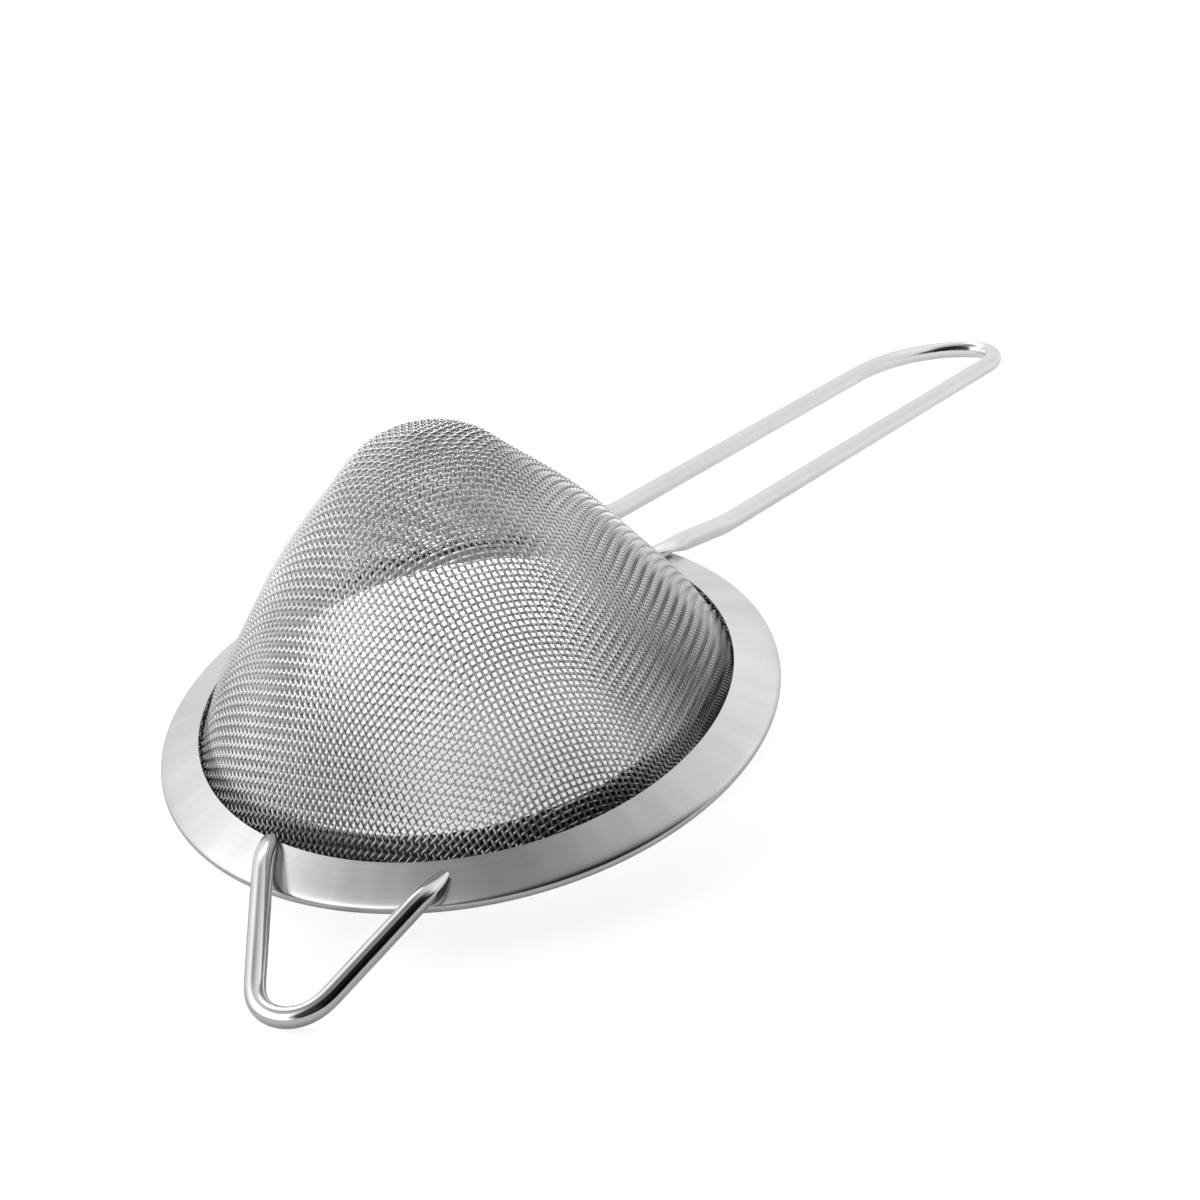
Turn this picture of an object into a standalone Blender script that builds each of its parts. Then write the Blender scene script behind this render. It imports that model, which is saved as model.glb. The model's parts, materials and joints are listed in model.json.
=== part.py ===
# Cocktail strainer in stainless steel. A cone of woven wire cloth stands tip up. Its skirt is clamped
# between a sheet collar with a rolled edge and a ring inside. A looped wire handle and, opposite it,
# a pointed wire rest are pressed flat at their ends and welded on the collar. Nothing moves.
#
# Each piece is modelled with the rim level, the cone's axis on Z and the handle towards +X. The
# pieces' parent then lays the strainer down, on the handle's end and the point of the rest.

import math

import bmesh
import bpy
import numpy as np
from mathutils import Matrix, Vector

# Sheet metal, metres
SHEET = 0.0005
CLEARANCE = 0.0003  # between pieces that touch
RIM_RADIUS = 0.045  # over the rolled edge
ROLL_RADIUS = 0.001
ROLL_RETURN = 0.0012  # flat turned in under the roll
COLLAR_WIDTH = 0.0062  # from the rim's edge in to the collar's inner edge, where the cloth comes out
COLLAR_RISE = 0.0034  # of that edge above the middle of the roll
LIP_INSET = 0.0035  # of the top edge of the inner ring's lip, from the collar's inner edge
LIP_HEIGHT = 0.0052  # of that edge above the middle of the roll
LIP_LEAN = math.radians(30)  # from the axis
LIP_BEND = 0.0006
ROUND_STEPS = 96

# Wire cloth
CLOTH_HEIGHT = 0.047  # of the tip above the middle of the roll
CLOTH_WIRE = 0.0007  # two wires of 0.35 mm where they cross
CLOTH_PITCH = 0.00094  # from one wire's middle to the next
WIRES_PER_BAR = 6  # one wire in so many is made
CLOTH_MIDDLE = (-0.0042, 0.0034)  # in plan, the crossing that the cloth was drawn down from
CLOTH_TURN = math.radians(35.9)  # the way that one of its two wires starts out
# Outline of the cone, tip to foot: share of the collar's inner radius, share of the height
CLOTH_OUTLINE = ((0, 1), (0.083, 0.98), (0.25, 0.92), (0.37, 0.8), (0.607, 0.55), (0.789, 0.3), (0.916, 0.12))
LEAST_STEP = 1.8  # wire widths from a crossing to the fold or the cut end
TIP_LEAN = 0.0011  # the tip stands off the axis by this
TIP_LEAN_TOWARDS = math.radians(-60)

# Round wire of the handle and the rest
WIRE = 0.003
WIRE_SIDES = 12
BLADE_TIP = 0.0007  # thickness of the flat ends
BLADE_WIDTH = 0.0035

# Handle
HANDLE_WELD_INSET = 0.005  # of its ends, from the rim's edge
HANDLE_WELD_SPREAD = 0.0131  # from the middle
HANDLE_BLADE = 0.0049  # pressed length, straight out across the collar
HANDLE_ROOT = 0.0019  # thickness where it leaves the rim
HANDLE_SWELL = 0.004  # from there to the full round
HANDLE_BEND_OUT = 0.0238  # from the rim's edge
HANDLE_BEND_DROP = 0.0124  # below the middle of the roll
HANDLE_BEND_RADIUS = 0.018
HANDLE_SLOPE = math.radians(19.5)
HANDLE_SPREAD = 0.0097  # from the middle to a wire's centre
HANDLE_OUT = 0.1483  # from the rim's edge to the wire's centre at the end
HANDLE_END_LENGTHS = (0.026, 0.012)  # of the rounded end, to the same centre, on the +Y and the -Y side
HANDLE_END_SHIFT = 0.0038  # of the end off the middle, towards -Y

# Rest
REST_WELD_INSETS = (0.0062, 0.0041)  # on the +Y and the -Y side
REST_WELD_SPREAD = 0.0138
REST_BLADE = 0.0035
REST_OUT = 0.02  # from the rim's edge to the wire's centre at the point
REST_DROP = 0.0025  # of that centre below the middle of the roll
REST_SLOPE = math.radians(13.2)
REST_POINT_RADIUS = 0.0058
REST_TURN = math.radians(1.8)  # round the cone's axis, off the middle


def clear_scene():
    for old in list(bpy.data.objects):
        bpy.data.objects.remove(old, do_unlink=True)


def steel(name, colour, roughness):
    material = bpy.data.materials.new(name)
    material.use_nodes = True
    shader = material.node_tree.nodes["Principled BSDF"]
    shader.inputs["Base Color"].default_value = (*colour, 1)
    shader.inputs["Metallic"].default_value = 1
    shader.inputs["Roughness"].default_value = roughness
    material.diffuse_color = (*colour, 1)
    return material


def add_piece(name, bm, material, parent):
    mesh = bpy.data.meshes.new(name)
    bm.to_mesh(mesh)
    bm.free()
    mesh.shade_smooth()
    mesh.set_sharp_from_angle(angle=math.radians(35))
    mesh.materials.append(material)
    piece = bpy.data.objects.new(name, mesh)
    bpy.context.scene.collection.objects.link(piece)
    piece.parent = parent
    return piece


# Section of the sheet pieces. A vector holds a radius and a height.

COLLAR_RADIUS = RIM_RADIUS - COLLAR_WIDTH
ROLL_CENTRE = Vector((RIM_RADIUS - ROLL_RADIUS, 0))
COLLAR_EDGE = Vector((COLLAR_RADIUS, COLLAR_RISE))


def collar_slope():
    """Angle below the level of the collar's top face, which runs from its edge onto the roll."""
    across = ROLL_CENTRE - COLLAR_EDGE
    return math.atan2(-across.y, across.x) - math.asin(ROLL_RADIUS / across.length)


SLOPE = collar_slope()
OUTWARD = Vector((math.cos(SLOPE), -math.sin(SLOPE)))
UPWARD = Vector((math.sin(SLOPE), math.cos(SLOPE)))

CLOTH_DEPTH = SHEET + CLEARANCE + CLOTH_WIRE / 2
RING_DEPTH = CLOTH_DEPTH + CLOTH_WIRE / 2 + CLEARANCE + SHEET / 2
RETURN_CORNER = ROLL_CENTRE + Vector((-ROLL_RETURN, SHEET - ROLL_RADIUS))
SKIRT_RUN = (RETURN_CORNER - COLLAR_EDGE).dot(OUTWARD) - CLEARANCE


def under_collar(run, depth):
    """A point this far down the slope from the collar's edge and this deep under its top face."""
    return COLLAR_EDGE + OUTWARD * run - UPWARD * depth


def meeting(point, along, other_point, other_along):
    """Where two lines in the section cross."""
    across = Vector((-other_along.y, other_along.x))
    return point + along * ((other_point - point).dot(across) / along.dot(across))


def rounded(corners, radius, steps):
    """A path through the corners, each inner one turned on an arc of this radius."""
    path = [corners[0]]
    for before, corner, after in zip(corners, corners[1:], corners[2:]):
        back = (before - corner).normalized()
        forth = (after - corner).normalized()
        half = back.angle(forth) / 2
        turn = math.pi - 2 * half
        centre = corner + (back + forth).normalized() * (radius / math.sin(half))
        first = corner + back * (radius / math.tan(half)) - centre
        last = corner + forth * (radius / math.tan(half)) - centre
        for step in range(steps + 1):
            done = step / steps
            path.append(
                centre
                + first * (math.sin((1 - done) * turn) / math.sin(turn))
                + last * (math.sin(done * turn) / math.sin(turn))
            )
    path.append(corners[-1])
    return path


def offset(path, distance):
    """The path moved to its left."""
    runs = [(b - a).normalized() for a, b in zip(path, path[1:])]
    moved = []
    for point, before, after in zip(path, [runs[0], *runs], [*runs, runs[-1]]):
        left = Vector((-before.y - after.y, before.x + after.x))
        moved.append(point + left * (distance / (1 + before.dot(after))))
    return moved


def collar_path():
    """Down the slope, round the roll and a little way back in under it."""
    middle = ROLL_RADIUS - SHEET / 2
    start = math.pi / 2 - SLOPE
    steps = 6
    path = [under_collar(0, SHEET / 2)]
    for step in range(steps + 1):
        angle = start - (start + math.pi / 2) * step / steps
        path.append(ROLL_CENTRE + Vector((math.cos(angle), math.sin(angle))) * middle)
    path.append(ROLL_CENTRE + Vector((-ROLL_RETURN, -middle)))
    return path


def ring_path():
    """In under the skirt from the roll, then up inside the cone."""
    leaning = Vector((-math.sin(LIP_LEAN), math.cos(LIP_LEAN)))
    lip_top = Vector((COLLAR_RADIUS - LIP_INSET, LIP_HEIGHT)) - Vector((leaning.y, -leaning.x)) * SHEET / 2
    flange_end = under_collar(SKIRT_RUN, RING_DEPTH)
    bend = meeting(lip_top, leaning, flange_end, OUTWARD)
    return rounded([flange_end, bend, lip_top], LIP_BEND, 3)


def turned_sheet(name, path, material, parent):
    """Sheet metal bent along the path in section and turned round the axis."""
    bm = bmesh.new()
    section = offset(path, SHEET / 2) + offset(path, -SHEET / 2)[::-1]
    corners = [bm.verts.new((point.x, 0, point.y)) for point in section]
    sides = [bm.edges.new(pair) for pair in zip(corners, corners[1:] + corners[:1])]
    bmesh.ops.spin(
        bm,
        geom=corners + sides,
        axis=(0, 0, 1),
        cent=(0, 0, 0),
        angle=2 * math.pi,
        steps=ROUND_STEPS,
        use_merge=True,
    )
    bmesh.ops.recalc_face_normals(bm, faces=bm.faces)
    return add_piece(name, bm, material, parent)


# Wire cloth. It's laid out by places in plan, as square cells can be drawn down over a dome, and cut
# by the way from the tip, down the cone and out along the skirt.


def smooth_outline(points, steps):
    """A smooth curve through the points, level at the first."""
    mirrored = Vector((-points[1].x, points[1].y))
    line = [mirrored, *points, 2 * points[-1] - points[-2]]
    curve = []
    for a, b, c, d in zip(line, line[1:], line[2:], line[3:]):
        for step in range(steps):
            t = step / steps
            bend = (2 * a - 5 * b + 4 * c - d) * t**2 + (3 * b - 3 * c + d - a) * t**3
            curve.append(b + ((c - a) * t + bend) / 2)
    curve.append(points[-1])
    return curve


def cloth_path():
    """The middle of the cloth in section, carried on past the end of the skirt."""
    height = CLOTH_HEIGHT - COLLAR_RISE
    outline = [Vector((a * COLLAR_RADIUS, COLLAR_RISE + b * height)) for a, b in CLOTH_OUTLINE]
    flank = offset(smooth_outline(outline, 12), -CLOTH_WIRE / 2)
    flank[0].x = 0
    to_edge = under_collar(0, SHEET) - flank[-1]
    passing = math.asin((CLEARANCE + CLOTH_WIRE / 2) / to_edge.length)
    down = math.atan2(to_edge.y, to_edge.x) - passing
    skirt = under_collar(0, CLOTH_DEPTH)
    fold = meeting(flank[-1], Vector((math.cos(down), math.sin(down))), skirt, OUTWARD)
    end = under_collar(SKIRT_RUN, CLOTH_DEPTH)
    return [*flank, fold, end, end + OUTWARD * 2 * WIRES_PER_BAR * CLOTH_PITCH]


CLOTH_LINE = cloth_path()
RADII = [point.x for point in CLOTH_LINE]
HEIGHTS = [point.y for point in CLOTH_LINE]
WAYS = np.cumsum([0] + [(b - a).length for a, b in zip(CLOTH_LINE, CLOTH_LINE[1:])])
FOLD_WAY = WAYS[-3]
END_WAY = WAYS[-2]


def on_cloth(place):
    """The point of the cloth over a place in plan."""
    return np.array((*place, np.interp(math.hypot(*place), RADII, HEIGHTS)))


def cloth_rise(place):
    """How fast the cloth rises along X and along Y."""
    small = 1e-6
    radius = max(math.hypot(*place), small)
    heights = np.interp((radius - small, radius + small), RADII, HEIGHTS)
    return np.array(place) * ((heights[1] - heights[0]) / (2 * small * radius))


def middle_wire(heading):
    """Places one wire step apart on a wire that starts this way from the middle and runs straight."""
    steps = 8
    places = []
    here = on_cloth(CLOTH_MIDDLE)
    ahead = np.array((math.cos(heading), math.sin(heading), 0))
    while math.hypot(here[0], here[1]) < RADII[-1]:
        for _ in range(steps):
            normal = np.array((*-cloth_rise(here[:2]), 1))
            normal = normal / np.linalg.norm(normal)
            ahead = ahead - normal * (ahead @ normal)
            there = here + ahead * (CLOTH_PITCH / steps / np.linalg.norm(ahead))
            above = on_cloth(there[:2])[2] - there[2]
            there = on_cloth((there + normal * (above * normal[2]))[:2])
            ahead = there - here
            here = there
        places.append(here[:2])
    return places


def next_crossing(before, left, right):
    """The place one wire step from both left and right, on the far side from the place before."""
    place = left + right - before
    ends = [on_cloth(left), on_cloth(right)]
    for _ in range(8):
        lines = [on_cloth(place) - end for end in ends]
        rise = cloth_rise(place)
        miss = [line @ line - CLOTH_PITCH**2 for line in lines]
        step = np.linalg.solve([2 * (line[:2] + line[2] * rise) for line in lines], miss)
        place = place - step * min(1, CLOTH_PITCH / max(math.hypot(*step), CLOTH_PITCH))
    return place


def all_crossings():
    """Where the wires cross, by their numbers each way from the cloth's middle."""
    places = {(0, 0): np.array(CLOTH_MIDDLE)}
    for quarter, (i, j) in enumerate(((1, 0), (0, 1), (-1, 0), (0, -1))):
        for count, place in enumerate(middle_wire(CLOTH_TURN + quarter * math.pi / 2), 1):
            places[i * count, j * count] = place
    most = max(max(key) for key in places) + 1
    for across, up in ((1, 1), (-1, 1), (-1, -1), (1, -1)):
        for i in range(across, across * most, across):
            for j in range(up, up * most, up):
                corners = [places.get(key) for key in ((i - across, j - up), (i - across, j), (i, j - up))]
                if all(corner is not None and math.hypot(*corner) < RADII[-1] for corner in corners):
                    places[i, j] = next_crossing(*corners)
    return places


def settled(way):
    """A crossing that comes close to the fold or to the cut end lies on it."""
    if abs(way - FOLD_WAY) < LEAST_STEP * CLOTH_WIRE:
        return FOLD_WAY
    if abs(way - END_WAY) < LEAST_STEP * CLOTH_WIRE:
        return END_WAY
    return way


def bar_crossings():
    """The crossings of the wires that are made, one at the tip, by their ways from it and angles."""
    places = all_crossings()
    tip = min(places, key=lambda key: math.hypot(*places[key]))
    crossings = {}
    for (i, j), (x, y) in places.items():
        bars = ((i - tip[0]) / WIRES_PER_BAR, (j - tip[1]) / WIRES_PER_BAR)
        if bars[0].is_integer() and bars[1].is_integer():
            way = np.interp(math.hypot(x, y), RADII, WAYS)
            crossings[bars] = (settled(way), math.atan2(y, x))
    return crossings


def between(place, other, way):
    """The place on the wire between two crossings that lies this way from the tip."""
    turn = (other[1] - place[1] + math.pi) % (2 * math.pi) - math.pi
    share = (way - place[0]) / (other[0] - place[0])
    return way, place[1] + turn * share


def wire_cloth(name, material, parent):
    """A net of square-section wires on the cone and its skirt, cut off inside the roll."""
    places = bar_crossings()
    points = {}
    bm = bmesh.new()
    lean = Vector((math.cos(TIP_LEAN_TOWARDS), math.sin(TIP_LEAN_TOWARDS), 0)) * TIP_LEAN
    fold_height = HEIGHTS[-3]

    def corner(key, way, angle):
        if key not in points:
            radius = np.interp(way, WAYS, RADII)
            point = Vector(on_cloth((radius * math.cos(angle), radius * math.sin(angle))))
            rise = max(0, (point.z - fold_height) / (CLOTH_HEIGHT - fold_height))
            points[key] = bm.verts.new(point + lean * rise)
        return points[key]

    for i, j in sorted(places):
        keys = [(i, j), (i + 1, j), (i + 1, j + 1), (i, j + 1)]
        if any(key not in places for key in keys):
            continue
        for band in ((0, FOLD_WAY), (FOLD_WAY, END_WAY)):
            loop = []
            for a, b in zip(keys, keys[1:] + keys[:1]):
                first = places[a]
                last = places[b]
                if band[0] <= first[0] <= band[1]:
                    loop.append(corner(a, *first))
                for way in band if first[0] < last[0] else band[::-1]:
                    if min(first[0], last[0]) < way < max(first[0], last[0]):
                        loop.append(corner((min(a, b), max(a, b), way), *between(first, last, way)))
            if len(loop) > 2:
                bm.faces.new(loop)
    piece = add_piece(name, bm, material, parent)
    wires = piece.modifiers.new("Wires", "WIREFRAME")
    wires.thickness = CLOTH_WIRE
    wires.use_even_offset = True
    wires.use_boundary = True
    wires.use_replace = True
    return piece


# Round wire pieces. A station on a wire is its middle, half its width and half its height.


def weld_place(inset, spread, side):
    """A point on the collar's top face and the face's direction there, at this side of the middle."""
    radius = RIM_RADIUS - inset
    reach = math.sqrt(radius**2 - spread**2)
    height = COLLAR_RISE - (radius - COLLAR_RADIUS) * math.tan(SLOPE)
    across = Vector((reach, spread * side, 0)) / radius
    upward = across * UPWARD.x + Vector((0, 0, UPWARD.y))
    return across * radius + Vector((0, 0, height)), upward


def pressed_end(weld, upward, aim, length, root):
    """Stations from a wire's flat end, which lies on the collar, towards the aim in plan."""
    forward = Vector((aim.x - weld.x, aim.y - weld.y, 0))
    forward.z = -forward.dot(upward) / upward.z
    forward.normalize()
    stations = []
    for share in (0, 0.06, 0.3, 0.65, 1):
        height = BLADE_TIP + (root - BLADE_TIP) * share
        width = BLADE_WIDTH + (WIRE - BLADE_WIDTH) * (height - BLADE_TIP) / (WIRE - BLADE_TIP)
        if share == 0:
            width *= 0.6
        middle = weld + forward * (length * share) + upward * (CLEARANCE + height / 2)
        stations.append((middle, width / 2, height / 2))
    return stations


def round_stations(path):
    return [(point, WIRE / 2, WIRE / 2) for point in path]


def wire_piece(name, stations, upward, material, parent):
    """A closed skin over the stations, whose height starts out along the given direction."""
    bm = bmesh.new()
    middles = [station[0] for station in stations]
    heading = (middles[1] - middles[0]).normalized()
    upward = (upward - heading * upward.dot(heading)).normalized()
    rings = []
    for before, (middle, width, height), after in zip(
        [middles[0], *middles], stations, [*middles[1:], middles[-1]]
    ):
        ahead = (after - before).normalized()
        upward = heading.rotation_difference(ahead) @ upward
        heading = ahead
        sideways = heading.cross(upward)
        ring = []
        for side in range(WIRE_SIDES):
            angle = 2 * math.pi * side / WIRE_SIDES
            around = sideways * (width * math.cos(angle)) + upward * (height * math.sin(angle))
            ring.append(bm.verts.new(middle + around))
        rings.append(ring)
    for ring, following in zip(rings, rings[1:]):
        for a in range(WIRE_SIDES):
            b = (a + 1) % WIRE_SIDES
            bm.faces.new((ring[a], ring[b], following[b], following[a]))
    bm.faces.new(rings[0])
    bm.faces.new(rings[-1])
    bmesh.ops.recalc_face_normals(bm, faces=bm.faces)
    return add_piece(name, bm, material, parent)


def mirrored(stations):
    """The same stations on the other side of the middle, from the far end back."""
    return [(Vector((point.x, -point.y, point.z)), width, height) for point, width, height in stations[::-1]]


def arc_points(centre, forward, sideways, first, last, steps):
    """Points of an ellipse, given by its two half axes."""
    points = []
    for step in range(steps + 1):
        angle = first + (last - first) * step / steps
        points.append(centre + forward * math.cos(angle) + sideways * math.sin(angle))
    return points


HANDLE_ALONG = Vector((math.cos(HANDLE_SLOPE), 0, -math.sin(HANDLE_SLOPE)))
HANDLE_BEND = Vector((RIM_RADIUS + HANDLE_BEND_OUT, HANDLE_SPREAD, -HANDLE_BEND_DROP))


def handle_end():
    """The wire's centre at the end of the handle."""
    end = HANDLE_BEND + HANDLE_ALONG * ((HANDLE_OUT - HANDLE_BEND_OUT) / HANDLE_ALONG.x)
    end.y = -HANDLE_END_SHIFT
    return end


def handle(name, material, parent):
    """Two legs alike, and between them a rounded end that was bent nearer one of them."""
    weld, upward = weld_place(HANDLE_WELD_INSET, HANDLE_WELD_SPREAD, 1)
    blade = pressed_end(weld, upward, weld * 2, HANDLE_BLADE, HANDLE_ROOT)
    leg = rounded([blade[-1][0], HANDLE_BEND, HANDLE_BEND + HANDLE_ALONG], HANDLE_BEND_RADIUS, 5)
    full = leg[0] + (leg[1] - leg[0]).normalized() * HANDLE_SWELL
    half = blade + round_stations([full, *leg[1:-1]])
    turn = []
    for length, side in zip(HANDLE_END_LENGTHS, (1, -1)):
        forward = HANDLE_ALONG * length
        sideways = Vector((0, HANDLE_SPREAD * side + HANDLE_END_SHIFT, 0))
        quarter = arc_points(handle_end() - forward, forward, sideways, 0, math.pi / 2, 11)
        turn += quarter[::-1] if side == 1 else quarter[1:]
    return wire_piece(name, half + round_stations(turn) + mirrored(half), upward, material, parent)


REST_ALONG = Vector((-math.cos(REST_SLOPE), 0, -math.sin(REST_SLOPE)))
REST_POINT = Vector((-RIM_RADIUS - REST_OUT, 0, -REST_DROP))
REST_TURNED = Matrix.Rotation(REST_TURN, 3, "Z")


def rest(name, material, parent):
    """Two straight legs, each meeting the round of the point."""
    centre = REST_POINT - REST_ALONG * REST_POINT_RADIUS
    forward = REST_ALONG * REST_POINT_RADIUS
    sideways = Vector((0, REST_POINT_RADIUS, 0))
    ends = []
    turns = []
    for inset, side in zip(REST_WELD_INSETS, (1, -1)):
        weld, upward = weld_place(inset, REST_WELD_SPREAD, side)
        weld.x = -weld.x
        upward.x = -upward.x
        out = (weld.x - centre.x) / REST_ALONG.x
        apart = math.hypot(out, weld.y)
        turn = math.atan2(abs(weld.y), out) - math.acos(REST_POINT_RADIUS / apart)
        touching = centre + forward * math.cos(turn) + sideways * (side * math.sin(turn))
        ends.append(pressed_end(weld, upward, touching, REST_BLADE, WIRE))
        turns.append(turn * side)
        if side == 1:
            first_upward = upward
    point = arc_points(centre, forward, sideways, turns[0], turns[1], 14)
    stations = ends[0] + round_stations(point) + ends[1][::-1]
    turned = [(REST_TURNED @ middle, width, height) for middle, width, height in stations]
    return wire_piece(name, turned, REST_TURNED @ first_upward, material, parent)


def lay_down(parent, pieces):
    """Tips the parent until the handle's end and the rest's point are level, and stands it at Z 0."""
    across = handle_end() - REST_TURNED @ REST_POINT
    parent.rotation_euler.y = math.atan2(across.z, across.x)
    bpy.context.view_layer.update()
    scene = bpy.context.evaluated_depsgraph_get()
    corners = []
    for piece in pieces:
        evaluated = piece.evaluated_get(scene)
        shape = evaluated.to_mesh()
        corners += [evaluated.matrix_world @ vert.co for vert in shape.vertices]
        evaluated.to_mesh_clear()
    low = [min(corner[axis] for corner in corners) for axis in range(3)]
    high = [max(corner[axis] for corner in corners) for axis in range(3)]
    parent.location = (-(low[0] + high[0]) / 2, -(low[1] + high[1]) / 2, -low[2])
    bpy.context.view_layer.update()


def main():
    clear_scene()
    strainer = bpy.data.objects.new("strainer", None)
    bpy.context.scene.collection.objects.link(strainer)
    spun = steel("spun_steel", (0.80, 0.80, 0.79), 0.32)
    pressed = steel("pressed_steel", (0.72, 0.72, 0.71), 0.30)
    cloth = steel("steel_cloth", (0.68, 0.68, 0.67), 0.35)
    bright = steel("bright_wire", (0.86, 0.86, 0.85), 0.18)
    polished = steel("polished_wire", (0.84, 0.84, 0.83), 0.12)
    pieces = [
        turned_sheet("rim_collar", collar_path(), spun, strainer),
        turned_sheet("clamp_ring", ring_path(), pressed, strainer),
        wire_cloth("mesh_cone", cloth, strainer),
        handle("handle_loop", bright, strainer),
        rest("rest_hook", polished, strainer),
    ]
    lay_down(strainer, pieces)


main()
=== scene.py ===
# %% [markdown]
# # A cocktail strainer
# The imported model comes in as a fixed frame: five steel pieces that lie on a table. The frame keeps
# every size. What is added here is what makes it look like the real thing: the true weave of the
# cloth, smooth wires and a smooth rim, the grain of the metal, the light and the camera. Sizes are in
# metres, unless a comment says otherwise.

# %% Load the frame
import json
import math
from bisect import bisect_right

import bpy
import numpy as np
from mathutils import Matrix, Vector


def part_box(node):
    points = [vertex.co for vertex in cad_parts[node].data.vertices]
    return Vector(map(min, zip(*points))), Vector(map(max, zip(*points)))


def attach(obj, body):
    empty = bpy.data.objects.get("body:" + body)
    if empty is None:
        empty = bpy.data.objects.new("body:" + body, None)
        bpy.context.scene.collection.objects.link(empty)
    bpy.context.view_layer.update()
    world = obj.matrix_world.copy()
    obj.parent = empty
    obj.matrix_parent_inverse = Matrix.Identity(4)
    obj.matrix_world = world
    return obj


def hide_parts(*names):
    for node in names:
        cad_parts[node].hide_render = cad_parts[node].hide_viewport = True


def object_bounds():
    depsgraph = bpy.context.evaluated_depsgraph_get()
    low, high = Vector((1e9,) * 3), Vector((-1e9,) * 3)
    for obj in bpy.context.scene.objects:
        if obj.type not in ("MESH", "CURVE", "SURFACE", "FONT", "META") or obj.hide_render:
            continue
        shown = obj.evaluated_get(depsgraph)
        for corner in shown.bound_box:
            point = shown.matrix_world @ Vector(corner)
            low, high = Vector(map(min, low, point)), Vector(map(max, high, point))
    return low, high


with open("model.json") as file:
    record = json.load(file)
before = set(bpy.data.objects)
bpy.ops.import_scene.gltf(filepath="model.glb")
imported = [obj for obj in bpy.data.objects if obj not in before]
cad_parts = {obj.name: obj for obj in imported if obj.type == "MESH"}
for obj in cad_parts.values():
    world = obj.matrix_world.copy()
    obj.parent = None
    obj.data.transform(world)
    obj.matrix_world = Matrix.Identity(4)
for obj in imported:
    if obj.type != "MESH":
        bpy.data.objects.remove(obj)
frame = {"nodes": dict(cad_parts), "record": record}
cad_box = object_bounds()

for name in sorted(frame["nodes"]):
    low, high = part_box(name)
    print(name, "from", [round(v, 4) for v in low], "to", [round(v, 4) for v in high])

# %% [markdown]
# ## The strainer's own axes
# The strainer lies on the end of its handle and on the point of its rest, so its rim is tipped. The
# collar, the cone and the weave are easier to describe with the rim level and the cone's axis
# upright, so one matrix turns such points into the frame. The frame's record has one mount, the seat
# under the roll of the rim. Its axis points down, and it gives the rim's tip and centre.

# %% Rim centre and tip
ROLL_RADIUS = 0.001

seat = frame["record"]["mounts"][0]
seat_axis = Vector(seat["axis"])
seat_x, _, seat_z = seat["pos_m"]
rim_tip = -math.atan2(seat_axis.x, -seat_axis.z)
rim_centre = Vector((seat_x, 0, seat_z)) - seat_axis * ROLL_RADIUS
to_frame = Matrix.Translation(rim_centre) @ Matrix.Rotation(rim_tip, 4, "Y")
print("the rim is tipped by", round(-math.degrees(rim_tip), 2), "degrees, its centre is at", rim_centre)


def in_frame(points):
    """Rows of points in the strainer's own axes, turned into the frame."""
    turn = np.array(to_frame.to_3x3())
    return np.asarray(points) @ turn.T + np.array(rim_centre)


# %% [markdown]
# ## Camera
# The photograph is taken with a long lens from the side of the rest, looking down on the collar, and
# the camera is rolled a little. A long lens far away keeps the shapes true. The ellipses of the rim
# and the taper of the handle in the photograph gave its place.

# %% Camera
SENSOR_WIDTH = 36  # in millimetres, as the lens
LENS = 120
CLIPPING = (0.01, 20)
CAMERA_PLACE = (-0.525398, -0.25376, 0.252353)
CAMERA_TURNS = (67.0997, 4.7132, -65.1236)  # in degrees, about X, Y and Z

camera_data = bpy.data.cameras.new("camera")
camera_data.sensor_width = SENSOR_WIDTH
camera_data.lens = LENS
camera_data.clip_start, camera_data.clip_end = CLIPPING
camera = bpy.data.objects.new("camera", camera_data)
bpy.context.scene.collection.objects.link(camera)
camera.location = CAMERA_PLACE
camera.rotation_euler = [math.radians(angle) for angle in CAMERA_TURNS]
bpy.context.scene.camera = camera
bpy.context.scene.view_settings.view_transform = "Standard"
print("camera is", round((camera.location - rim_centre).length, 3), "m from the rim")

# %% [markdown]
# ## Helpers for node trees
# Every finish is a small tree of nodes. It could be wired by hand in the shader editor. In a script
# two helpers keep the wiring readable: one adds a node with its settings, the other joins two sockets.


# %% Node helpers
def add_node(tree, kind, **settings):
    node = tree.nodes.new(kind)
    for name, value in settings.items():
        setattr(node, name, value)
    return node


def join(tree, output, socket):
    tree.links.new(output, socket)


# %% [markdown]
# ## Table
# The strainer stands on a plain white table. The table is lit as the object is, so it keeps the
# shadow and throws white light up under the rim. The camera sees it brighter than it is, so that it
# melts into the white of the background, but less so under the cone: there the lower glow is painted
# shade for the shade that the cloth casts. Steel mirrors a glow on the table too, a painted pool of
# light: strong behind, where the light comes from, and none at the front, where that leaves a painted
# shadow in the reflections.


# %% White table
TABLE_TONE = 0.76
TABLE_GLOW = 0.74
# The lower glow round the shaded middle is painted shade under the cone.
GLOW_UNDER_CONE = 0.48
SHADED_MIDDLE = (-0.038, 0.008, 0)
SHADED_REACH = (0.030, 0.046)  # distances from there between which the glow rises
# The mirrored glow is a painted pool of light behind the strainer, with painted shadow at the front.
MIRRORED_GLOW = 0.28
MIRRORED_STRETCH = (-0.02, 0.12)  # places along X between which the mirrored glow rises
HALF_TABLE = 6
TABLE_GAP = 0.0002  # under the strainer


def spread(tree, value, start, end, low, high):
    """Low until the value reaches start, high from end on, and a soft change between."""
    node = add_node(tree, "ShaderNodeMapRange", interpolation_type="SMOOTHSTEP")
    node.inputs["From Min"].default_value = start
    node.inputs["From Max"].default_value = end
    node.inputs["To Min"].default_value = low
    node.inputs["To Max"].default_value = high
    join(tree, value, node.inputs["Value"])
    return node.outputs["Result"]


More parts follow.
